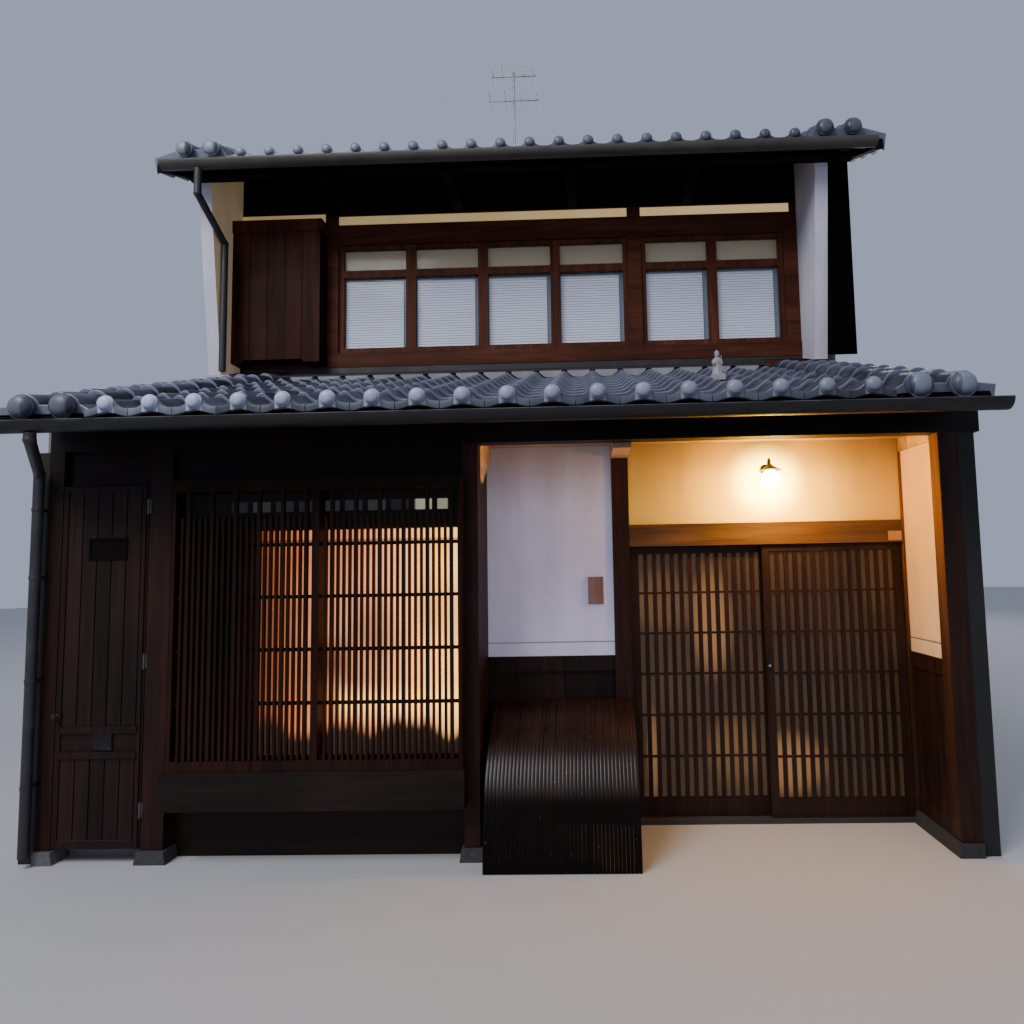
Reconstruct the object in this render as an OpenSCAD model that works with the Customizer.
// Two-storey timber town house of the Kyoto kind: lattice bay, recessed entrance with
// two sliding lattice doors, tiled pent roof, set-back upper storey between wing walls.
// X runs along the street front, Y into the house, Z up. The ground is z = 0.

/* [Plan] */
// Distance from the house's middle line to the outer face of each party wall
half_width = 2800; // [2780:5:2900]
// Thickness of the party walls
party_wall_t = 100; // [80:5:120]
// Depth from the front posts' face to the face of the entrance wall
recess_depth = 530; // [480:5:620]
// Depth from the front posts' face to the face of the upper storey
upper_setback = 2100; // [2000:10:2250]
// Depth of the two-storey block behind the upper storey's face
block_depth = 6000; // [5600:50:6600]
// Thickness of the outer walls that are plastered on a timber frame
wall_t = 110; // [100:5:130]

/* [Posts and beams] */
// Width of the front posts across the front
post_w = 91; // [85:1:100]
// Width of the corner post at the right end
corner_post_w = 113; // [105:1:120]
// Width of the middle post between side door and lattice bay
door_post_w = 132; // [120:1:140]
// Depth of the posts and of the front beam
post_d = 105; // [95:1:115]
// Height of the stone under each post
post_stone_h = 75; // [60:1:90]
// Height of the front beam's underside
beam_z = 2400; // [2380:5:2440]
// Length of the sawn beam end that stands out past the right party wall
beam_end = 30; // [10:1:60]

/* [Side door] */
// Width of the side door's opening
side_door_w = 530; // [500:5:560]
// Height of the side door leaf's lower edge
side_door_z0 = 85; // [82:1:100]
// Height of the side door leaf's upper edge
side_door_z1 = 2190; // [2100:5:2250]
// Thickness of the side door leaf
side_leaf_t = 36; // [30:1:42]
// Depth of the leaf's face behind the posts' face
side_leaf_y = 2; // [0:1:10]
// Gap all round a leaf that swings
leaf_gap = 6; // [5:0.5:8]
// Radius of the side door's hinge barrels
hinge_r = 7; // [6:0.5:8]
// Length of one hinge barrel
hinge_l = 90; // [70:1:110]

/* [Lattice bay] */
// Distance that the lattice bay stands out from the posts
bay_out = 95; // [80:1:110]
// Width of the bay between its outer edges
bay_w = 1690; // [1650:5:1700]
// Height of the bay's sill, top side
bay_sill_z = 594; // [560:2:620]
// Height of the bay's head rail, lower side
bay_head_z = 2129; // [2100:1:2160]
// Height of the head rail
bay_head_h = 71; // [60:1:90]
// Depth of the skirt board under the sill, top to bottom
bay_skirt_h = 274; // [250:2:300]
// Height of the lattice's lowest cross rail
rail_z0 = 606; // [606:1:640]
// Distance between the lattice's cross rails
rail_pitch = 302; // [280:1:310]
// Height of the top ends of the short slats
short_slat_z = 1979; // [1900:5:2000]
// Centre distance of neighbouring slats
slat_pitch = 34.6; // [33:0.1:36]
// Width of the short slats
slat_w = 14; // [12:0.5:16]
// Width of the full-height slats
long_slat_w = 20; // [16:0.5:21]
// Depth of the slats
slat_d = 24; // [20:1:28]

/* [Entrance] */
// Width of the plaster panel between the bay and the entrance post
panel_w = 831; // [810:1:850]
// Width of the entrance post
entrance_post_w = 112; // [100:1:120]
// Height of the entrance opening, from the sill rail to the lintel
door_h = 1750; // [1720:5:1800]
// Height of the sill rail's top
sill_z = 28; // [20:1:36]
// Depth of the lintel, top to bottom
lintel_h = 145; // [130:1:160]
// Height of the entrance ceiling
ceiling_z = 2458; // [2445:1:2470]
// Thickness of a sliding leaf
leaf_t = 32; // [28:1:36]
// Distance between the two tracks' leaves, face to face
track_gap = 8; // [6:0.5:10]
// Overlap of the two leaves at the middle
leaf_overlap = 46; // [40:1:60]
// Width of the leaf's stiles and of its top rail
leaf_stile_w = 42; // [38:1:46]
// Height of the leaf's bottom board
leaf_board_h = 118; // [100:1:130]
// Centre distance of the leaf's lattice bars
bar_pitch = 59; // [56:0.5:62]
// Width of the leaf's lattice bars
bar_w = 28; // [24:0.5:32]
// Depth of the leaf's lattice bars
bar_d = 12; // [10:1:14]
// Clearance under and over the sliding leaves
leaf_run = 0.3; // [0.2:0.1:0.5]

/* [Wall panels] */
// Height of the plaster's lower edge
plaster_z = 1074; // [1040:2:1100]
// Height of the rail between plaster and boards
dado_rail_h = 97; // [80:1:110]
// Thickness of the plaster panels
plaster_t = 60; // [50:1:70]
// Thickness of the boards below the plaster
board_t = 18; // [15:1:24]
// Depth of the boards behind the rail's face
board_back = 20; // [16:1:28]

/* [Pent roof] */
// Height of the tiles' middle line at the eave
pent_eave_z = 2575; // [2560:5:2600]
// Distance of the eave in front of the posts' face
pent_overhang = 423; // [400:1:450]
// Rise of the pent roof for each unit of run
pent_slope = 0.335; // [0.32:0.005:0.345]
// Distance of the pent roof's ends from the party walls' inner faces
pent_end_gap = 10; // [5:1:20]
// Width of the margin beside the pent roof's plain tile columns
pent_verge = 530; // [520:5:560]

/* [Main roof] */
// Height of the tiles' middle line at the eaves over the upper storey's plaster strips
eave_lift = 169; // [159:5:199]
// Distance of the front eave in front of the upper storey's face
main_overhang = 727; // [700:1:760]
// Rise of the main roof for each unit of run
main_slope = 0.45; // [0.43:0.01:0.46]
// Half of the main roof's length along the street
main_half = 3030; // [2990:5:3060]
// Width of the margin beside the main roof's plain tile columns
main_verge = 630; // [600:5:660]

/* [Tiles] */
// Centre distance of the tile columns, before it is rounded to fill each roof
tile_pitch = 240; // [230:1:250]
// Height of the tiles' rolls over their troughs
tile_wave = 52; // [44:1:60]
// Thickness of the tiles
tile_t = 20; // [16:1:24]
// Radius of the round eave tile ends
end_r = 45; // [40:1:48]
// Radius of the two large rolls at each verge
verge_r = 72; // [66:1:76]
// Distance that the tiles lie over the roof boards
tile_bed = 46; // [42:1:50]
// Thickness of the roof boards
deck_t = 14; // [12:1:18]
// Depth of the rafters below the roof boards
rafter_h = 58; // [50:1:64]
// Width of the rafters
rafter_w = 45; // [40:1:54]
// Height of the ridge's stack of flat tiles
ridge_h = 210; // [180:5:240]
// Width of the ridge's stack at its foot
ridge_w = 300; // [280:5:320]

/* [Gutters] */
// Outer radius of the half-round gutters
gutter_r = 60; // [52:1:64]
// Thickness of the gutter sheet
gutter_t = 3; // [2:0.5:4]
// Outer radius of the downpipes
pipe_r = 29; // [26:1:31]

/* [Upper storey] */
// Height of the sill under the sashes
upper_sill_z = 3647; // [3600:5:3690]
// Height of the sash frame, bottom to top
sash_h = 1035; // [1000:5:1060]
// Height of the lintel over the sashes
upper_lintel_h = 192; // [170:2:210]
// Height of the plaster strip over the lintel
strip_h = 87; // [70:1:95]
// Width of the sashes' stiles and top rails
sash_stile = 45; // [40:1:50]
// Height of the rail between the two panes of a sash
sash_mid_h = 67; // [56:1:74]
// Height of the upper pane
sash_top_pane = 202; // [180:2:230]
// Width of the upper storey's posts
upper_post_w = 122; // [110:1:126]
// Distance from the middle line to the middle post's centre
mid_post_x = 1012; // [980:2:1040]
// Distance from the right party wall to the right post's centre
right_post_in = 262; // [258:1:270]
// Distance from the left party wall to the left post's centre
left_post_in = 901; // [880:1:920]
// Distance that the shutter box stands out
box_out = 170; // [150:2:200]
// Thickness of the wing walls
wing_t = 105; // [95:1:110]
// Distance of the left wing wall's inner face from the left party wall
wing_left_in = 55; // [40:1:60]
// Distance of the right wing wall's inner face from the right party wall
wing_right_in = 195; // [180:1:200]
// Reach of the wing walls at their top
wing_top = 550; // [500:5:580]
// Reach of the wing walls at their foot
wing_foot = 330; // [300:5:380]

/* [Fittings] */
// Reach of the curved bamboo screen from the plaster wall
screen_reach = 690; // [640:5:700]
// Height of the curved bamboo screen
screen_h = 800; // [760:5:840]
// Thickness of the curved bamboo screen
screen_t = 24; // [20:1:30]
// Radius of the lamp's glass globe
globe_r = 62; // [50:1:70]
// Height of the roof figure
figure_h = 196; // [170:2:220]
// Height of the aerial's mast over the ridge
mast_h = 1480; // [1300:10:1600]

/* [Hidden] */
$fn = 48;
seat = 0.3;
bite = 1;
long = 20000;
inner_x = half_width - party_wall_t;
pent_half = inner_x - pent_end_gap;
pent_cols = 2 * round((pent_half - pent_verge) / tile_pitch);
main_cols = 2 * round((main_half - main_verge) / tile_pitch);
pent_pitch = 2 * (pent_half - pent_verge) / pent_cols;
main_pitch = 2 * (main_half - main_verge) / main_cols;
wing_left_x = inner_x - wing_left_in;
wing_right_x = inner_x - wing_right_in;
left_post_x = inner_x - left_post_in;
right_post_x = inner_x - right_post_in;
upper_lintel_z = upper_sill_z + sash_h;
strip_z = upper_lintel_z + upper_lintel_h;
main_eave_z = strip_z + strip_h + eave_lift;
outer_beam_drop = 130;
wing_z = main_eave_z - outer_beam_drop;
back_y = upper_setback + block_depth;
ridge_y = upper_setback + block_depth / 2;
main_eave_y = upper_setback - main_overhang;
main_run = ridge_y - main_eave_y;
pent_run = upper_setback + pent_overhang;
pent_angle = atan(pent_slope);
main_angle = atan(main_slope);
gutter_drop = 100;
gutter_out = 78;
pent_gutter_y = -pent_overhang - gutter_out;
main_gutter_y = main_eave_y - gutter_out;
// The plan's outermost lines: the pent gutter's front and its counterpart at the rear
y_low = pent_gutter_y - gutter_r;
y_high = 2 * ridge_y - main_gutter_y + gutter_r;
plan_mid_y = (y_low + y_high) / 2;

// Places along the front, from the left
side_x0 = -inner_x + post_w;
side_x1 = side_x0 + side_door_w;
door_post_x1 = side_x1 + door_post_w;
bay_inset = 61;
bay_post_out = 82;
panel_in = 23;
bay_wall_in = 20;
bay_x0 = door_post_x1 + bay_inset;
bay_x1 = bay_x0 + bay_w;
bay_post_x1 = bay_x1 + bay_post_out;
bay_post_x0 = bay_post_x1 - post_w;
panel_x0 = bay_post_x1 - panel_in;
bay_wall_x0 = bay_post_x0 + bay_wall_in;
panel_x1 = panel_x0 + panel_w;
entrance_x0 = panel_x1 + entrance_post_w;
entrance_x1 = inner_x - corner_post_w;

// Depths at the entrance wall
jamb_out = 15;
jamb_y0 = recess_depth - jamb_out;
jamb_d = 125;
jamb_y1 = jamb_y0 + jamb_d;
leaf_in = 10;
front_leaf_y = recess_depth + leaf_in;
rear_leaf_y = front_leaf_y + leaf_t + track_gap;
lintel_z = sill_z + door_h;
lintel_z1 = lintel_z + lintel_h;

// A block between two corners
module block(x0, x1, y0, y1, z0, z1) translate([x0, y0, z0]) cube([x1 - x0, y1 - y0, z1 - z0]);

// A rectangle between two corners
module pane(x0, x1, z0, z1) translate([x0, z0]) square([x1 - x0, z1 - z0]);

// A shape drawn in Y and Z, thickened along X
module side_cut(x0, x1) translate([x0, 0, 0]) rotate([90, 0, 90]) linear_extrude(x1 - x0) children();

// A shape drawn in X and Z, thickened along Y
module front_cut(y0, y1) translate([0, y1, 0]) rotate([90, 0, 0]) linear_extrude(y1 - y0) children();

// A shape drawn across a roof, carried up its slope
module up_slope(y, z, angle, length) translate([0, y, z]) rotate([90 + angle, 0, 0])
    translate([0, 0, -length]) linear_extrude(length) children();

// The same shape on the rear half of the main roof
module rear_half() translate([0, 2 * ridge_y, 0]) mirror([0, 1, 0]) children();

// Finishes, each in the house's own place
module placed(paint) color(paint) translate([0, -plan_mid_y, 0]) children();
module timber() placed("#3a2418") children();
module plaster() placed("#eeeae4") children();
module tile() placed("#6f7883") children();
module metal() placed("#4a4a4c") children();
module stone() placed("#a9a6a0") children();
module glass() placed("#cfd6dc") children();

// Height of each roof's tiles, at the middle of their wave, and of the rafters' underside
function pent_z(y) = pent_eave_z + (y + pent_overhang) * pent_slope;
function main_z(y) = main_eave_z + (min(y, 2 * ridge_y - y) - main_eave_y) * main_slope;
roof_layers = tile_bed + seat + deck_t + rafter_h;
pent_under = roof_layers / cos(pent_angle);
main_under = roof_layers / cos(main_angle);

// Floors
floor_t = 60;
under_board_t = 30;
floor_front = post_d + under_board_t;
upper_floor_z = 2850;
upper_floor_t = 150;
inner_y = upper_setback + wall_t;
rear_y = back_y - wall_t;
module ground_floor() stone() linear_extrude(floor_t) polygon([
    [-inner_x, floor_front], [bay_wall_x0, floor_front], [bay_wall_x0, jamb_y1], [inner_x, jamb_y1],
    [inner_x, rear_y], [-inner_x, rear_y]]);
module upper_floor() timber()
    block(-inner_x, inner_x, inner_y, rear_y, upper_floor_z - upper_floor_t, upper_floor_z);

// Stones under the posts, wider at the foot, and the entrance's sill rail
stone_step = 14;
stone_flare = 12;
stone_out = 20;
module post_stone(x0, x1, y0, y1) front_cut(y0, y1) polygon([
    [x0 - stone_step - stone_flare, 0], [x1 + stone_step + stone_flare, 0],
    [x1 + stone_step, post_stone_h], [x0 - stone_step, post_stone_h]]);
module base_stones() stone() {
    intersection() {
        post_stone(-inner_x, side_x0, -stone_out, post_d);
        block(-inner_x, 0, -long, long, 0, long);
    }
    post_stone(side_x1, door_post_x1, -stone_out, post_d);
    post_stone(bay_post_x0, bay_post_x1, -stone_out, post_d);
    intersection() {
        post_stone(entrance_x1, inner_x, -stone_out, jamb_y0 - seat);
        block(0, inner_x, -long, long, 0, long);
    }
    block(entrance_x0, entrance_x1, jamb_y0, jamb_y1, 0, sill_z);
}

// Party walls: a low front part under the pent roof, then the gable of the two-storey block
wall_front_y = 8;
module party_wall(x0) plaster() side_cut(x0, x0 + party_wall_t) polygon([
    [wall_front_y, 0], [back_y, 0], [back_y, main_z(back_y) - main_under],
    [ridge_y, main_z(ridge_y) - main_under], [upper_setback, main_z(upper_setback) - main_under],
    [upper_setback, pent_z(upper_setback) - pent_under], [post_d, pent_z(post_d) - pent_under],
    [post_d, beam_z], [wall_front_y, beam_z]]);
module party_wall_left() party_wall(-half_width);
module party_wall_right() party_wall(inner_x);

// Rear wall with one row of sashes on each storey
rear_sash_w = 672;
rear_row = 4;
rear_half_w = rear_row * rear_sash_w / 2;
rear_sill_z = 900;
module rear_wall() plaster() front_cut(rear_y, back_y) difference() {
    pane(-inner_x, inner_x, 0, main_z(back_y) - main_under);
    for (z = [rear_sill_z, upper_sill_z]) pane(-rear_half_w, rear_half_w, z, z + sash_h);
}

// Windows: rows of sashes, each with a low upper pane and a tall lower pane
sash_foot = 55;
sash_head = 37;
sash_t = 35;
glass_t = 5;
sash_lower_h = sash_h - sash_foot - sash_mid_h - sash_top_pane - sash_head;
sash_in = 25;
sash_y = upper_setback + sash_in;
rear_sash_y = back_y - sash_in - sash_t;
left_open_x0 = -left_post_x + upper_post_w / 2;
left_open_x1 = mid_post_x - upper_post_w / 2;
right_open_x0 = mid_post_x + upper_post_w / 2;
right_open_x1 = right_post_x - upper_post_w / 2;
module sash_row(x0, x1, z0, count) difference() {
    width = (x1 - x0) / count;
    pane(x0, x1, z0, z0 + sash_h);
    for (i = [0:count - 1]) {
        left = x0 + i * width + sash_stile;
        right = x0 + (i + 1) * width - sash_stile;
        mid_z = z0 + sash_foot + sash_lower_h;
        pane(left, right, z0 + sash_foot, mid_z);
        pane(left, right, mid_z + sash_mid_h, mid_z + sash_mid_h + sash_top_pane);
    }
}
module window_sashes() timber() {
    front_cut(sash_y, sash_y + sash_t) sash_row(left_open_x0, left_open_x1, upper_sill_z, 4);
    front_cut(sash_y, sash_y + sash_t) sash_row(right_open_x0, right_open_x1, upper_sill_z, 2);
    for (z = [rear_sill_z, upper_sill_z])
        front_cut(rear_sash_y, rear_sash_y + sash_t) sash_row(-rear_half_w, rear_half_w, z, rear_row);
}
module window_glass() glass() {
    for (ends = [[left_open_x0, left_open_x1], [right_open_x0, right_open_x1]])
        block(ends[0], ends[1], sash_y + sash_t, sash_y + sash_t + glass_t, upper_sill_z,
            upper_sill_z + sash_h);
    for (z = [rear_sill_z, upper_sill_z])
        block(-rear_half_w, rear_half_w, rear_sash_y - glass_t, rear_sash_y, z, z + sash_h);
}

// Posts of the lower front and of the entrance wall
module front_posts() timber() {
    block(-inner_x, side_x0, 0, post_d, post_stone_h, beam_z);
    block(side_x1, door_post_x1, 0, post_d, post_stone_h, beam_z);
    block(bay_post_x0, bay_post_x1, 0, post_d, post_stone_h, beam_z);
    block(entrance_x1, inner_x, 0, post_d, post_stone_h, beam_z);
    block(panel_x1, entrance_x0, jamb_y0, jamb_y1, 0, ceiling_z);
    block(entrance_x1, inner_x, jamb_y0, jamb_y1, 0, ceiling_z);
}
module front_beam() timber() side_cut(-inner_x, half_width + beam_end) polygon([
    [0, beam_z], [post_d, beam_z], [post_d, pent_z(post_d) - pent_under - seat],
    [0, pent_z(0) - pent_under - seat]]);

// Boards over the side door and over the bay, with the bay's small cover
transom_t = 30;
transom_y = 40;
bay_top = bay_head_z + bay_head_h;
module bay_transom() timber() {
    block(side_x0, side_x1, transom_y, transom_y + transom_t, side_door_z1 + leaf_gap, beam_z);
    block(door_post_x1, bay_post_x0, transom_y, transom_y + transom_t, bay_top, beam_z);
}

// Lattice bay: frame, slats, skirt and the screens behind them
bay_stile_w = 22;
mullion_w = 41;
bay_mid_x = (bay_x0 + bay_x1) / 2;
bay_sill_h = 60;
module bay_frame() timber() {
    front_cut(-bay_out, 0) difference() {
        pane(bay_x0, bay_x1, bay_sill_z - bay_sill_h, bay_top);
        pane(bay_x0 + bay_stile_w, bay_mid_x - mullion_w / 2, bay_sill_z, bay_head_z);
        pane(bay_mid_x + mullion_w / 2, bay_x1 - bay_stile_w, bay_sill_z, bay_head_z);
    }
}
slat_in = 4;
slat_y = -bay_out + slat_in;
rail_t = 14;
rail_h = 20;
rail_count = 5;
rail_notch = 2;
half_lattice = bay_mid_x - mullion_w / 2 - bay_x0 - bay_stile_w;
slat_count = floor(half_lattice / slat_pitch) - 1;
slat_margin = (half_lattice - (slat_count - 1) * slat_pitch) / 2;
module lattice(x0) timber() union() {
    for (i = [0:slat_count - 1]) {
        is_long = i % 4 == 1;
        half_w = (is_long ? long_slat_w : slat_w) / 2;
        x = x0 + slat_margin + i * slat_pitch;
        block(x - half_w, x + half_w, slat_y, slat_y + slat_d, bay_sill_z,
            is_long ? bay_head_z : short_slat_z);
    }
    for (i = [0:rail_count - 1]) {
        z = rail_z0 + i * rail_pitch;
        block(x0, x0 + half_lattice, slat_y + slat_d - rail_notch, slat_y + slat_d + rail_t,
            z - rail_h / 2, z + rail_h / 2);
    }
}
module lattice_left() lattice(bay_x0 + bay_stile_w);
module lattice_right() lattice(bay_mid_x + mullion_w / 2);

skirt_over = 30;
skirt_proud = 8;
skirt_out = bay_out + skirt_proud;
skirt_t = 28;
skirt_x0 = bay_x0 - skirt_over;
skirt_x1 = bay_wall_x0 - bite;
module bay_skirt() timber() {
    translate([0, 0, bay_sill_z - bay_skirt_h]) linear_extrude(bay_skirt_h - bay_sill_h) polygon([
        [skirt_x0, 0], [skirt_x0, -skirt_out], [skirt_x1, -skirt_out], [skirt_x1, 0],
        [skirt_x1 - skirt_t, 0], [skirt_x1 - skirt_t, -skirt_out + skirt_t],
        [skirt_x0 + skirt_t, -skirt_out + skirt_t], [skirt_x0 + skirt_t, 0]]);
    block(door_post_x1 - post_w, bay_wall_x0, post_d, floor_front, 0, bay_sill_z - bay_sill_h);
}
paper_y = 20;
paper_t = 20;
module bay_screens() glass()
    block(door_post_x1, bay_post_x0, paper_y, paper_y + paper_t, bay_sill_z - bay_sill_h, bay_top);

// Wall between the bay and the entrance recess, up to the tie beam over it
tie_h = 88;
tie_z = ceiling_z - tie_h;
module bay_side_wall() timber() block(bay_wall_x0, panel_x0, post_d, recess_depth, 0, tie_z);

// Plaster and boards of the entrance wall, and the return wall at its right
rail_out = 8;
return_in = 15;
return_x = entrance_x1 + return_in;
return_foot_h = 90;
return_foot_z = post_stone_h + return_foot_h;
module panel_plaster() plaster() {
    block(bay_wall_x0, panel_x1, recess_depth, recess_depth + plaster_t, plaster_z, ceiling_z);
    block(entrance_x0, entrance_x1, recess_depth, recess_depth + plaster_t, lintel_z1, ceiling_z);
}
module panel_boards() timber() {
    union() {
        block(bay_wall_x0, panel_x1, recess_depth, recess_depth + plaster_t,
            plaster_z - dado_rail_h, plaster_z);
        block(panel_x0, panel_x1, recess_depth - rail_out, recess_depth + bite,
            plaster_z - dado_rail_h, plaster_z);
        block(bay_wall_x0, panel_x1, recess_depth + board_back, recess_depth + board_back + board_t,
            0, plaster_z - dado_rail_h + bite);
    }
    union() {
        block(return_x - rail_out, inner_x, post_d, jamb_y0, plaster_z - dado_rail_h, plaster_z);
        block(return_x, inner_x, post_d, jamb_y0, return_foot_z - bite, plaster_z - dado_rail_h + bite);
        block(return_x - rail_out, inner_x, post_d, jamb_y0, post_stone_h, return_foot_z);
    }
}
groove_d = 15;
groove_w = 28;
tongue_t = 18;
module entrance_lintel() timber() difference() {
    block(entrance_x0, entrance_x1, jamb_y0, jamb_y1, lintel_z, lintel_z1);
    for (y = [front_leaf_y, rear_leaf_y])
        block(entrance_x0 - bite, entrance_x1 + bite, y + (leaf_t - groove_w) / 2,
            y + (leaf_t + groove_w) / 2, lintel_z - bite, lintel_z + groove_d);
}
// Ceiling boards of the recess on three tie beams, from the front beam to the entrance wall,
// with a bracket under the tie beam beside the bay
bracket_drop = 170;
bracket_nose = 95;
bracket_nose_drop = 190;
bracket_l = 390;
module entrance_ceiling() timber() union() {
    side_cut(panel_x0, bay_post_x1) polygon([[post_d, tie_z + bite], [post_d, tie_z - bracket_drop],
        [post_d + bracket_nose, tie_z - bracket_nose_drop], [post_d + bracket_l, tie_z],
        [post_d + bracket_l, tie_z + bite]]);
    block(bay_post_x0, inner_x, post_d, recess_depth + plaster_t, ceiling_z, ceiling_z + board_t);
    block(bay_post_x0, bay_post_x1, post_d, recess_depth, tie_z, ceiling_z + bite);
    block(panel_x1, entrance_x0, post_d, jamb_y0, tie_z, ceiling_z + bite);
    block(entrance_x1, inner_x, post_d, jamb_y0, tie_z, ceiling_z + bite);
}

module return_wall() plaster() block(return_x, inner_x, post_d, jamb_y0, plaster_z, tie_z);

// Sliding leaves with lattice bars, a bottom board and a tongue in the lintel's groove
leaf_side = 5;
leaf_w = (entrance_x1 - entrance_x0 - 2 * leaf_side + leaf_overlap) / 2;
leaf_z0 = sill_z + leaf_run;
leaf_drop = 5;
leaf_top = lintel_z - leaf_drop;
bars_in = 3;
bar_rails = 5;
bar_y = 6;
bar_rail_h = 14;
leaf_glass_t = 4;
module leaf(x0, y0) timber() union() {
    front_cut(y0, y0 + leaf_t) difference() {
        pane(x0, x0 + leaf_w, leaf_z0, leaf_top);
        pane(x0 + leaf_stile_w, x0 + leaf_w - leaf_stile_w, leaf_z0 + leaf_board_h,
            leaf_top - leaf_stile_w);
    }
    block(x0, x0 + leaf_w, y0 + (leaf_t - tongue_t) / 2, y0 + (leaf_t + tongue_t) / 2,
        leaf_top - bite, lintel_z + groove_d - leaf_drop);
    front_cut(y0 + bar_y, y0 + bar_y + bar_d) bars(x0 + leaf_stile_w - bars_in,
        x0 + leaf_w - leaf_stile_w + bars_in, leaf_z0 + leaf_board_h - bars_in,
        leaf_top - leaf_stile_w + bars_in);
}
module bars(x0, x1, z0, z1) {
    gaps = floor((x1 - x0) / bar_pitch);
    margin = (x1 - x0 - (gaps - 1) * bar_pitch) / 2;
    step = (z1 - z0) / (bar_rails + 1);
    difference() {
        pane(x0, x1, z0, z1);
        for (i = [0:gaps - 1], j = [0:bar_rails])
            pane(x0 + margin + i * bar_pitch - (bar_pitch - bar_w) / 2,
                x0 + margin + i * bar_pitch + (bar_pitch - bar_w) / 2,
                z0 + j * step + bar_rail_h / 2, z0 + (j + 1) * step - bar_rail_h / 2);
    }
}
module leaf_glass(x0, y0) glass() block(x0 + leaf_stile_w, x0 + leaf_w - leaf_stile_w,
    y0 + bar_y + bar_d, y0 + bar_y + bar_d + leaf_glass_t, leaf_z0 + leaf_board_h,
    leaf_top - leaf_stile_w);
left_leaf_x = entrance_x0 + leaf_side;
right_leaf_x = entrance_x1 - leaf_side - leaf_w;
module door_left() leaf(left_leaf_x, rear_leaf_y);
module door_left_glass() leaf_glass(left_leaf_x, rear_leaf_y);
module door_right() leaf(right_leaf_x, front_leaf_y);
module door_right_glass() leaf_glass(right_leaf_x, front_leaf_y);

// Side door: ledged boards with two rails, hung on three hinges at its right edge
hinge_x = side_x1 - leaf_gap;
hinge_y = side_leaf_y - hinge_r - seat;
hinge_plate_w = 16;
hinge_plate_t = 3;
ledge_h = 40;
ledge_out = 14;
ledge_in = 30;
ledge_z = [595, 740];
grip_z = 820;
grip_h = 42;
grip_w = 36;
grip_in = 4;
hinge_plate_in = 5;
hinge_z = [300, 1150, 2060];
module side_door() timber() union() {
    block(side_x0 + leaf_gap, side_x1 - leaf_gap, side_leaf_y, side_leaf_y + side_leaf_t,
        side_door_z0, side_door_z1);
    for (z = ledge_z)
        block(side_x0 + leaf_gap + ledge_in, side_x1 - leaf_gap - ledge_in, side_leaf_y - ledge_out,
            side_leaf_y + bite, z, z + ledge_h);
    block(side_x0 + leaf_gap + grip_in, side_x0 + leaf_gap + grip_in + grip_w,
        side_leaf_y - ledge_out, side_leaf_y + bite, grip_z, grip_z + grip_h);
}
module side_door_hinges() metal() for (z = hinge_z) union() {
    translate([hinge_x, hinge_y, z - hinge_l / 2]) cylinder(r = hinge_r, h = hinge_l);
    block(hinge_x, hinge_x + hinge_plate_w, -seat - hinge_plate_t, -seat,
        z - hinge_l / 2 + hinge_plate_in, z + hinge_l / 2 - hinge_plate_in);
}

// The verge: a flat margin under the large rolls, and a lip that hangs over the roof boards
verge_flat = -20;
lip_h = 95;
lip_t = 24;
pent_verge_rise = 12;
main_verge_rise = 52;
verge_edge = 10;
wall_play = 4;
pent_verge_crest = verge_flat + pent_verge_rise + verge_r;
main_verge_crest = verge_flat + main_verge_rise + verge_r;

// Roof boards with their rafters, as one comb drawn across the slope
rafter_pitch = 300;
rafter_in = 45;
lip_play = 2;
function comb(half, count) = [for (i = [0:count - 1])
    let (x = -half + rafter_in + i * 2 * (half - rafter_in) / (count - 1))
    each [[x - rafter_w / 2, -deck_t], [x - rafter_w / 2, -deck_t - rafter_h],
        [x + rafter_w / 2, -deck_t - rafter_h], [x + rafter_w / 2, -deck_t]]];
module deck(half) {
    count = round(2 * half / rafter_pitch) + 1;
    polygon(concat([[-half, 0], [-half, -deck_t]], comb(half, count), [[half, -deck_t], [half, 0]]));
}
deck_in = 20;
module slope_boards(y0, z0, angle, run, half) intersection() {
    up_slope(y0 - rafter_h, z0 - rafter_h * tan(angle) - (tile_bed + seat) / cos(angle), angle,
        (run + rafter_h) / cos(angle) - roof_layers * tan(angle)) deck(half);
    block(-long, long, y0, long, 0, long);
}
pent_deck_y = -pent_overhang + deck_in;
main_deck_y = main_eave_y + deck_in;
pent_deck_half = pent_half - lip_t - lip_play;
main_deck_half = main_half - lip_t - lip_play;
module pent_deck() timber()
    slope_boards(pent_deck_y, pent_z(pent_deck_y), pent_angle, upper_setback - pent_deck_y,
        pent_deck_half);
module main_deck_side()
    slope_boards(main_deck_y, main_z(main_deck_y), main_angle, ridge_y - main_deck_y, main_deck_half);
module main_deck() timber() {
    main_deck_side();
    rear_half() main_deck_side();
}

// Boards that close the rafters' ends and carry the gutters
eave_board_t = 16;
eave_board_low = 4;
eave_board_top = 8;
module eave_board(y0, z0, angle, half) block(-half, half, y0 - eave_board_t, y0,
    z0 - roof_layers / cos(angle) - eave_board_low, z0 - tile_bed / cos(angle) - eave_board_top);
module eave_boards() timber() {
    eave_board(pent_deck_y, pent_z(pent_deck_y), pent_angle, pent_deck_half);
    eave_board(main_deck_y, main_z(main_deck_y), main_angle, main_deck_half);
    rear_half() eave_board(main_deck_y, main_z(main_deck_y), main_angle, main_deck_half);
}

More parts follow.
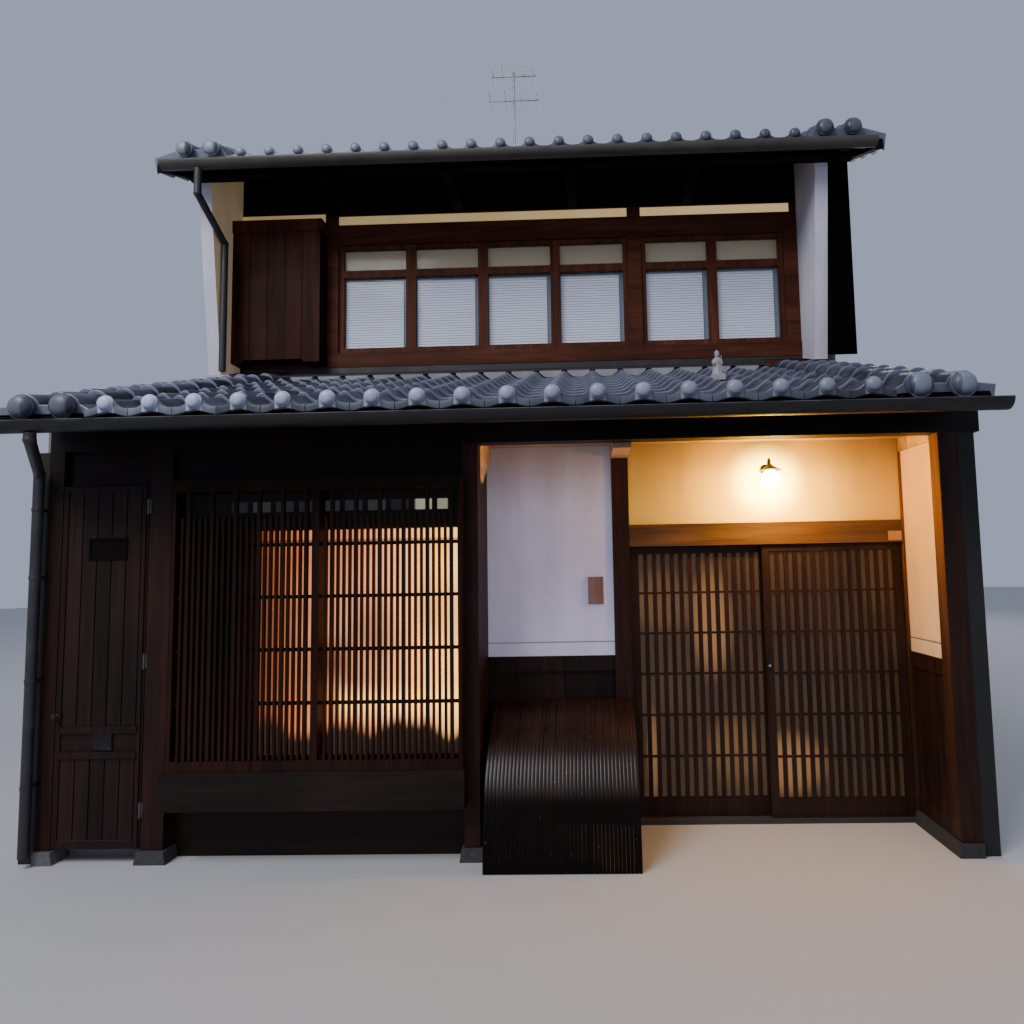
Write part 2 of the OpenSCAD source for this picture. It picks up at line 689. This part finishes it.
// Tiles: one sheet whose section is the wave of rolls and troughs, with two large rolls
// at each verge and a lip over the verge board
wave_steps = 10;
function wave(u) = tile_wave * (pow((1 + cos(360 * u)) / 2, 2.2) - 0.5);
function wave_line(cols, pitch, lift) = [for (i = [0:cols * wave_steps])
    [(i / wave_steps - cols / 2) * pitch, wave(i / wave_steps - 0.5) + lift]];
function arc_points(cx, cz, r, a0, a1, n) = [for (i = [0:n])
    let (a = a0 + (a1 - a0) * i / n) [cx + r * cos(a), cz + r * sin(a)]];
verge_roll_pitch = 225;
verge_open = 10;
verge_steps = 10;
function verge_rolls(cols, pitch) = let (x = (cols + 1) / 2 * pitch) [x, x + verge_roll_pitch];
function verge_top(cols, pitch, half, rise) = concat([for (x = verge_rolls(cols, pitch))
    each arc_points(x, verge_flat + rise, verge_r, 180 - verge_open, verge_open, verge_steps)],
    [[half, verge_flat + verge_edge], [half, verge_flat - lip_h]]);
function flip(points) = [for (p = turned(points)) [-p[0], p[1]]];
function turned(points) = [for (i = [len(points) - 1:-1:0]) points[i]];
function sheet(cols, pitch, half, rise) = concat(flip(verge_top(cols, pitch, half, rise)),
    wave_line(cols, pitch, 0), verge_top(cols, pitch, half, rise),
    [[half - lip_t, verge_flat - lip_h], [half - lip_t, verge_flat - tile_t]],
    turned(wave_line(cols, pitch, -tile_t)),
    [[-half + lip_t, verge_flat - tile_t], [-half + lip_t, verge_flat - lip_h]]);
lip_depth = lip_h - verge_flat + wall_play;
module pent_tiles() tile() up_slope(-pent_overhang, pent_eave_z, pent_angle,
    pent_run / cos(pent_angle) - lip_depth * pent_slope)
    polygon(sheet(pent_cols, pent_pitch, pent_half, pent_verge_rise));
module main_sheet() up_slope(main_eave_y, main_eave_z, main_angle,
    main_run / cos(main_angle) - lip_depth * main_slope)
    polygon(sheet(main_cols, main_pitch, main_half, main_verge_rise));
module main_tiles() tile() {
    main_sheet();
    rear_half() main_sheet();
}

pent_crest = tile_wave / 2 / cos(pent_angle) + seat;
main_crest = tile_wave / 2 / cos(main_angle) + seat;
flashing_t = 6;
flashing_leg = 360;
flashing_lift = 8;
flashing_z = pent_crest + flashing_lift;
upstand_z = pent_z(upper_setback) + pent_verge_crest / cos(pent_angle) + seat;
module pent_flashing() metal() union() {
    side_cut(-pent_half + pent_verge, pent_half - pent_verge) polygon([
        [upper_setback, pent_z(upper_setback) + flashing_z], [upper_setback, sill_board_z],
        [upper_setback - flashing_t, sill_board_z],
        [upper_setback - flashing_t, pent_z(upper_setback) + flashing_z + flashing_t],
        [upper_setback - flashing_leg, pent_z(upper_setback - flashing_leg) + flashing_z + flashing_t],
        [upper_setback - flashing_leg, pent_z(upper_setback - flashing_leg) + flashing_z]]);
    block(-wing_left_x + seat, wing_right_x - seat, upper_setback - flashing_t, upper_setback,
        upstand_z, sill_board_z);
}

// Mortar that closes each trough under the flashing's lower edge, and beds the ridge
mortar_in = 12;
mortar_l = 30;
mortar_top = flashing_z * cos(pent_angle) - bite;
mortar_y = upper_setback - flashing_leg + mortar_in;
mortar_reach = wave_steps / 2 - 1;
ridge_bed_in = 52;
ridge_bed_l = 40;
ridge_bed_y = ridge_y - ridge_w / 2 + ridge_bed_in;
ridge_bed_half = main_cols / 2 * main_pitch;
module ridge_bed() up_slope(ridge_bed_y, main_z(ridge_bed_y), main_angle, ridge_bed_l)
    polygon(concat(wave_line(main_cols, main_pitch, seat),
        [[ridge_bed_half, main_verge_crest], [-ridge_bed_half, main_verge_crest]]));
module trough_mortar() up_slope(mortar_y, pent_z(mortar_y), pent_angle, mortar_l)
    for (i = [1:pent_cols - 1]) translate([(i - pent_cols / 2) * pent_pitch, 0]) polygon(concat(
        [for (k = [-mortar_reach:mortar_reach])
            [k / wave_steps * pent_pitch, wave(0.5 + k / wave_steps) + seat]],
        [for (k = [mortar_reach, -mortar_reach])
            [k / wave_steps * pent_pitch, mortar_top]]));
module roof_mortar() plaster() {
    trough_mortar();
    ridge_bed();
    rear_half() ridge_bed();
}

// Upper storey's front: a timber frame with two window openings, plaster strips over the
// lintel and a board under the sashes that stands out a little
sill_board_z = 3517;
sill_out = 12;
sill_start = 20;
strip_over = 65;
box_strip_lift = 30;
strip_ends = [[-inner_x, -left_post_x - upper_post_w / 2, box_strip_lift],
    [left_open_x0, left_open_x1, 0], [right_open_x0, right_open_x1 + strip_over, 0]];
module strips() for (ends = strip_ends)
    pane(ends[0], ends[1], strip_z + ends[2], strip_z + ends[2] + strip_h);
module upper_frame() timber() union() {
    front_cut(upper_setback, inner_y) difference() {
        pane(-inner_x, inner_x, upper_floor_z - upper_floor_t, main_z(upper_setback) - main_under);
        pane(left_open_x0, left_open_x1, upper_sill_z, upper_lintel_z);
        pane(right_open_x0, right_open_x1, upper_sill_z, upper_lintel_z);
        strips();
    }
    block(box_x1 + sill_start, wing_right_x - seat, upper_setback - sill_out, upper_setback, sill_board_z,
        upper_sill_z);
}
strip_back = 12;
module upper_plaster() plaster()
    front_cut(upper_setback + strip_back, upper_setback + strip_back + plaster_t) strips();

// Shutter box: boards under a cap board, with a raised notch in the lower edge
box_post_gap = 41;
box_drop = 24;
box_x0 = -wing_left_x;
box_x1 = -left_post_x - box_post_gap;
box_z0 = 3530;
box_z1 = strip_z - box_drop;
cap_h = 114;
cap_out = 16;
notch_h = 26;
notch_left = 85;
notch_right = 140;
module shutter_box() timber() union() {
    front_cut(upper_setback - box_out, upper_setback) polygon([
        [box_x0, box_z0], [box_x0 + notch_left, box_z0],
        [box_x0 + notch_left + notch_h, box_z0 + notch_h],
        [box_x1 - notch_right - notch_h, box_z0 + notch_h], [box_x1 - notch_right, box_z0],
        [box_x1, box_z0], [box_x1, box_z1 - cap_h + bite], [box_x0, box_z1 - cap_h + bite]]);
    block(box_x0, box_x1 + cap_out, upper_setback - box_out - cap_out, upper_setback,
        box_z1 - cap_h, box_z1);
}

// Wing walls, leaning back towards the foot, and the boarded screen at the right end
wing_gap = 8;
wing_nib = 40;
screen_lift = 40;
wing_lift = pent_verge_crest + wing_gap;
function wing_shape(y_top, y_foot, lift) = [
    [upper_setback, main_z(upper_setback) - main_under], [y_top, main_z(y_top) - main_under],
    [y_top, wing_z - wing_nib], [y_foot, pent_z(y_foot) + lift],
    [upper_setback, pent_z(upper_setback) + lift]];
module wing_wall(x0) side_cut(x0, x0 + wing_t)
    polygon(wing_shape(upper_setback - wing_top, upper_setback - wing_foot, wing_lift));
module wing_walls() plaster() {
    wing_wall(-wing_left_x - wing_t);
    wing_wall(wing_right_x);
}
screen_back = 60;
module side_screen() timber() side_cut(wing_right_x + wing_t, half_width) polygon(wing_shape(
    upper_setback - wing_top + screen_back, upper_setback - wing_top + screen_back,
    wing_lift + screen_lift));

// Arms that carry the outer eave beam, cut to the slope of the roof boards over them
outer_beam_d = 100;
outer_beam_y = upper_setback - wing_top - outer_beam_d;
arm_h = 110;
arm_w = 90;
arm_count = 4;
arm_pitch = 1050;
arm_shift = -75;
arm_gap = 7;
arm_z = strip_z + strip_h + arm_gap;
module eave_arms() timber() union() {
    side_cut(-half_width, half_width) polygon([[outer_beam_y, wing_z],
        [outer_beam_y + outer_beam_d, wing_z],
        [outer_beam_y + outer_beam_d, main_z(outer_beam_y + outer_beam_d) - main_under],
        [outer_beam_y, main_z(outer_beam_y) - main_under]]);
    for (i = [0:arm_count - 1]) {
        x = (i - (arm_count - 1) / 2) * arm_pitch + arm_shift;
        side_cut(x - arm_w / 2, x + arm_w / 2) intersection() {
            pane(outer_beam_y, upper_setback, arm_z, arm_z + arm_h);
            polygon([[outer_beam_y, 0], [upper_setback, 0],
                [upper_setback, main_z(upper_setback) - main_under],
                [outer_beam_y, main_z(outer_beam_y) - main_under]]);
        }
    }
}

// Ridge: a stepped stack of flat tiles that straddles the peak, under a round cap, with a
// broad shaped tile at each end
ridge_seat = main_verge_crest / cos(main_angle) + seat;
ridge_foot = main_z(ridge_y - ridge_w / 2) + ridge_seat;
ridge_top = ridge_foot + ridge_h;
ridge_steps = 4;
ridge_step_in = 28;
cap_r = 70;
ridge_end_t = 60;
ridge_end_half = 200;
ridge_end_in = 10;
ridge_end_drop = 20;
function stack_side(side) = [for (i = [0:ridge_steps - 1], up = [0, 1])
    [ridge_y + side * (ridge_w / 2 - i * ridge_step_in), ridge_foot + (i + up) * ridge_h / ridge_steps]];
module main_ridge() tile() union() {
    side_cut(-main_half + ridge_end_t, main_half - ridge_end_t) union() {
        polygon(concat(stack_side(1), turned(stack_side(-1)),
            [[ridge_y, ridge_foot + ridge_w / 2 * main_slope]]));
        translate([ridge_y, ridge_top]) circle(r = cap_r);
    }
    for (x0 = [ridge_end_in - main_half, main_half - ridge_end_in - ridge_end_t])
        side_cut(x0, x0 + ridge_end_t) union() {
        translate([ridge_y, ridge_top - ridge_end_drop]) circle(r = 2 * cap_r);
        polygon([[ridge_y - ridge_end_half, ridge_foot + (ridge_w / 2 - ridge_end_half) * main_slope],
            [ridge_y, ridge_foot + ridge_w / 2 * main_slope],
            [ridge_y + ridge_end_half, ridge_foot + (ridge_w / 2 - ridge_end_half) * main_slope],
            [ridge_y + ridge_w / 2, ridge_top], [ridge_y - ridge_w / 2, ridge_top]]);
    }
}

// Eave tiles: a scalloped plate in front of the sheet, with a domed disc on every roll
plate_t = 22;
plate_h = 46;
plate_drop = 24;
disc_t = 12;
dome_shoulder = 0.72;
dome_low = 0.3;
dome_high = 0.45;
function plate_low(u) = -plate_h - plate_drop * (1 - cos(360 * u)) / 2;
function plate(cols, pitch) = concat(wave_line(cols, pitch, 0), turned([for (i = [0:cols * wave_steps])
    [(i / wave_steps - cols / 2) * pitch, plate_low(i / wave_steps - 0.5)]]));
module domed_disc(r) rotate([90, 0, 0]) rotate_extrude()
    polygon([[0, 0], [r, 0], [r, disc_t], [dome_shoulder * r, disc_t + dome_low * r],
        [0, disc_t + dome_high * r]]);
module eave_row(cols, pitch, y, z, angle, rise) {
    translate([0, y - tile_wave / 2 * sin(angle) - seat, z]) union() {
        front_cut(-plate_t, 0) polygon(plate(cols, pitch));
        for (i = [0:cols - 1]) translate([(i + 0.5 - cols / 2) * pitch, -plate_t, 0])
            domed_disc(end_r);
    }
    for (side = [-1, 1], x = verge_rolls(cols, pitch))
        translate([side * x, y - (verge_flat + rise + verge_r) * sin(angle) - seat,
            z + verge_flat + rise]) domed_disc(verge_r);
}
module main_eave_row() eave_row(main_cols, main_pitch, main_eave_y, main_eave_z, main_angle,
    main_verge_rise);
module eave_tiles() tile() {
    eave_row(pent_cols, pent_pitch, -pent_overhang, pent_eave_z, pent_angle, pent_verge_rise);
    main_eave_row();
    rear_half() main_eave_row();
}

// Half-round gutters with closed ends, on straps from the rafters' ends
strap_w = 25;
strap_count = 7;
strap_in = 60;
strap_t = 6;
pent_gutter_over = 10;
main_gutter_in = 120;
module gutter(half, y, z, back) union() {
    difference() {
        side_cut(-half, half) half_disc(y, z, gutter_r);
        side_cut(-half + gutter_t, half - gutter_t) half_disc(y, z + bite, gutter_r - gutter_t);
    }
    for (i = [0:strap_count - 1]) {
        x = -half + strap_in + i * (2 * half - 2 * strap_in - strap_w) / (strap_count - 1);
        block(x, x + strap_w, y + gutter_r - gutter_t, back, z - strap_t - bite, z - bite);
    }
}
module half_disc(y, z, r) intersection() {
    translate([y, z]) circle(r = r);
    pane(y - 2 * r, y + 2 * r, z - 2 * r, z);
}
pent_gutter_z = pent_eave_z - gutter_drop;
main_gutter_z = main_eave_z - gutter_drop;
pent_gutter_half = pent_half + pent_gutter_over;
main_gutter_half = main_half - main_gutter_in;
module gutters() metal() {
    gutter(pent_gutter_half, pent_gutter_y, pent_gutter_z, pent_deck_y - eave_board_t);
    gutter(main_gutter_half, main_gutter_y, main_gutter_z, main_deck_y - eave_board_t);
    rear_half() gutter(main_gutter_half, main_gutter_y, main_gutter_z, main_deck_y - eave_board_t);
}

// Downpipes: straight lengths with round elbows
elbow_t = 2.5;
module pipe_run(points, r) union() {
    for (i = [0:len(points) - 2]) {
        a = points[i];
        d = points[i + 1] - a;
        translate(a) rotate([0, acos(d[2] / norm(d)), atan2(d[1], d[0])]) cylinder(r = r, h = norm(d));
    }
    for (i = [1:len(points) - 2]) translate(points[i]) sphere(r = r + elbow_t);
}
pipe_drop = 98;
low_pipe_shift = 307;
low_pipe_foot = 60;
low_bend_drop = 215;
low_bend_z = pent_gutter_z - low_bend_drop;
high_bend_fall = 270;
high_bend_z = main_gutter_z - high_bend_fall;
high_bend_drop = 220;
low_pipe_past = 18;
low_pipe_x = -inner_x - low_pipe_past;
post_gap = 25;
low_pipe_y = -pipe_r - post_gap;
high_pipe_gap = 8;
high_pipe_x = -wing_left_x + pipe_r + high_pipe_gap;
pipe_end_gap = 40;
high_pipe_y = 1726;
module downpipes() metal() {
    pipe_run([[low_pipe_x + low_pipe_shift, pent_gutter_y, pent_gutter_z - gutter_r - seat],
        [low_pipe_x + low_pipe_shift, pent_gutter_y, pent_gutter_z - pipe_drop],
        [low_pipe_x, low_pipe_y, low_bend_z], [low_pipe_x, low_pipe_y, low_pipe_foot]], pipe_r);
    pipe_run([[high_pipe_x, main_gutter_y, main_gutter_z - gutter_r - seat],
        [high_pipe_x, main_gutter_y, high_bend_z], [high_pipe_x, high_pipe_y, high_bend_z - high_bend_drop],
        [high_pipe_x, high_pipe_y, pent_z(high_pipe_y) + pent_verge_crest + pipe_end_gap]], pipe_r);
}

// Curved bamboo screen against the entrance wall: a quarter of an ellipse, drawn twice
screen_in = 60;
screen_x0 = panel_x0 + screen_in;
screen_w = 868;
screen_steps = 24;
function quarter(a, b) = [for (i = [0:screen_steps])
    [jamb_y0 - seat - a * sin(90 * i / screen_steps), b * cos(90 * i / screen_steps)]];
module bamboo_screen() timber() side_cut(screen_x0, screen_x0 + screen_w) polygon(concat(
    quarter(screen_reach, screen_h), turned(quarter(screen_reach - screen_t, screen_h - screen_t))));

// Wall lamp: plate, bent arm and flared shade, with a glass globe under it
lamp_x = 1715;
lamp_out = 130;
lamp_z = 2272;
arm_r = 7;
arm_bend = 50;
lamp_plate_r = 36;
lamp_plate_t = 12;
shade_r = 76;
shade_h = 30;
shade_t = 4;
shade_neck_r = 18;
shade_drop = 22;
globe_bite = 3.7;
lamp_path = [[0, 0], [-lamp_out + arm_bend, 0], [-lamp_out + arm_bend, arm_bend],
    [-lamp_out, arm_bend], [-lamp_out, 0]];
module arm_run(a, b) translate([0, a[0], a[1]])
    rotate([a[1] == b[1] ? 90 : a[1] < b[1] ? 0 : 180, 0, 0]) cylinder(r = arm_r, h = norm(b - a));
module wall_lamp() metal() translate([lamp_x, recess_depth, lamp_z]) union() {
    rotate([90, 0, 0]) cylinder(r = lamp_plate_r, h = lamp_plate_t);
    for (i = [1:len(lamp_path) - 1]) arm_run(lamp_path[i - 1], lamp_path[i]);
    for (i = [1:len(lamp_path) - 2]) translate([0, lamp_path[i][0], lamp_path[i][1]]) sphere(r = arm_r);
    translate([0, -lamp_out, -shade_drop]) rotate_extrude() polygon([[0, shade_h],
        [shade_neck_r, shade_h - shade_t / 2], [shade_r, shade_t], [shade_r, 0],
        [shade_neck_r, shade_t], [0, shade_t]]);
}
module lamp_globe() glass() translate([lamp_x, recess_depth - lamp_out,
    lamp_z - shade_drop - globe_r + globe_bite]) sphere(r = globe_r);

// Name plate, left bare
plate_x = 577;
name_plate_w = 102;
name_plate_h = 179;
name_plate_z = 1406;
name_plate_t = 14;
module name_plate() timber() block(plate_x - name_plate_w / 2, plate_x + name_plate_w / 2,
    recess_depth - name_plate_t, recess_depth, name_plate_z, name_plate_z + name_plate_h);

// Roof figure: a robed guardian on a bedded plinth
figure_x = 6 * pent_pitch;
figure_y = 600;
figure_half = 2 * pent_pitch / wave_steps;
figure_bed = wave(0.5 - 2 / wave_steps) / cos(pent_angle) + seat;
plinth_half_d = 45;
plinth_h = 22;
robe_r = 34;
robe_h = 128;
waist_r = 24;
waist_h = 70;
sleeve_r = 32;
sleeve_h = 96;
neck_r = 14;
head_r = 18;
module roof_figure() tile() union() {
    side_cut(figure_x - figure_half, figure_x + figure_half) polygon([
        [figure_y - plinth_half_d, pent_z(figure_y - plinth_half_d) + figure_bed],
        [figure_y + plinth_half_d, pent_z(figure_y + plinth_half_d) + figure_bed],
        [figure_y + plinth_half_d, pent_z(figure_y) + plinth_h],
        [figure_y - plinth_half_d, pent_z(figure_y) + plinth_h]]);
    translate([figure_x, figure_y, pent_z(figure_y) + plinth_h - bite]) rotate_extrude() polygon([
        [0, 0], [robe_r, 0], [waist_r, waist_h], [sleeve_r, sleeve_h], [neck_r, robe_h], [0, robe_h]]);
    translate([figure_x, figure_y, pent_z(figure_y) + figure_h - 2 * head_r]) sphere(r = head_r);
}

// Aerial: a mast on the ridge with two booms and their rods
aerial_x = -380;
mast_r = 16;
boom_r = 9;
rod_r = 5;
rod_l = 520;
rod_shorter = 40;
boom_end = 20;
high_boom = [60, 620, 5];
low_boom = [420, 700, 4];
module boom(drop, length, rods) translate([0, 0, mast_h - drop]) {
    translate([-length / 2, 0, 0]) rotate([0, 90, 0]) cylinder(r = boom_r, h = length);
    for (i = [0:rods - 1]) {
        half = (rod_l - i * rod_shorter) / 2;
        translate([(i / (rods - 1) - 0.5) * (length - 2 * boom_end), half, 0]) rotate([90, 0, 0])
            cylinder(r = rod_r, h = 2 * half);
    }
}
module aerial() metal() translate([aerial_x, ridge_y, ridge_top + cap_r + seat]) union() {
    cylinder(r = mast_r, h = mast_h);
    boom(high_boom[0], high_boom[1], high_boom[2]);
    boom(low_boom[0], low_boom[1], low_boom[2]);
}

ground_floor();
upper_floor();
base_stones();
party_wall_left();
party_wall_right();
rear_wall();
front_posts();
front_beam();
bay_transom();
bay_frame();
lattice_left();
lattice_right();
bay_skirt();
bay_screens();
bay_side_wall();
panel_plaster();
panel_boards();
entrance_lintel();
entrance_ceiling();
return_wall();
door_left();
door_left_glass();
door_right();
door_right_glass();
side_door();
side_door_hinges();
pent_deck();
pent_tiles();
pent_flashing();
roof_mortar();
upper_frame();
upper_plaster();
window_sashes();
window_glass();
shutter_box();
wing_walls();
side_screen();
eave_arms();
main_deck();
eave_boards();
main_tiles();
main_ridge();
eave_tiles();
gutters();
downpipes();
bamboo_screen();
wall_lamp();
lamp_globe();
name_plate();
roof_figure();
aerial();
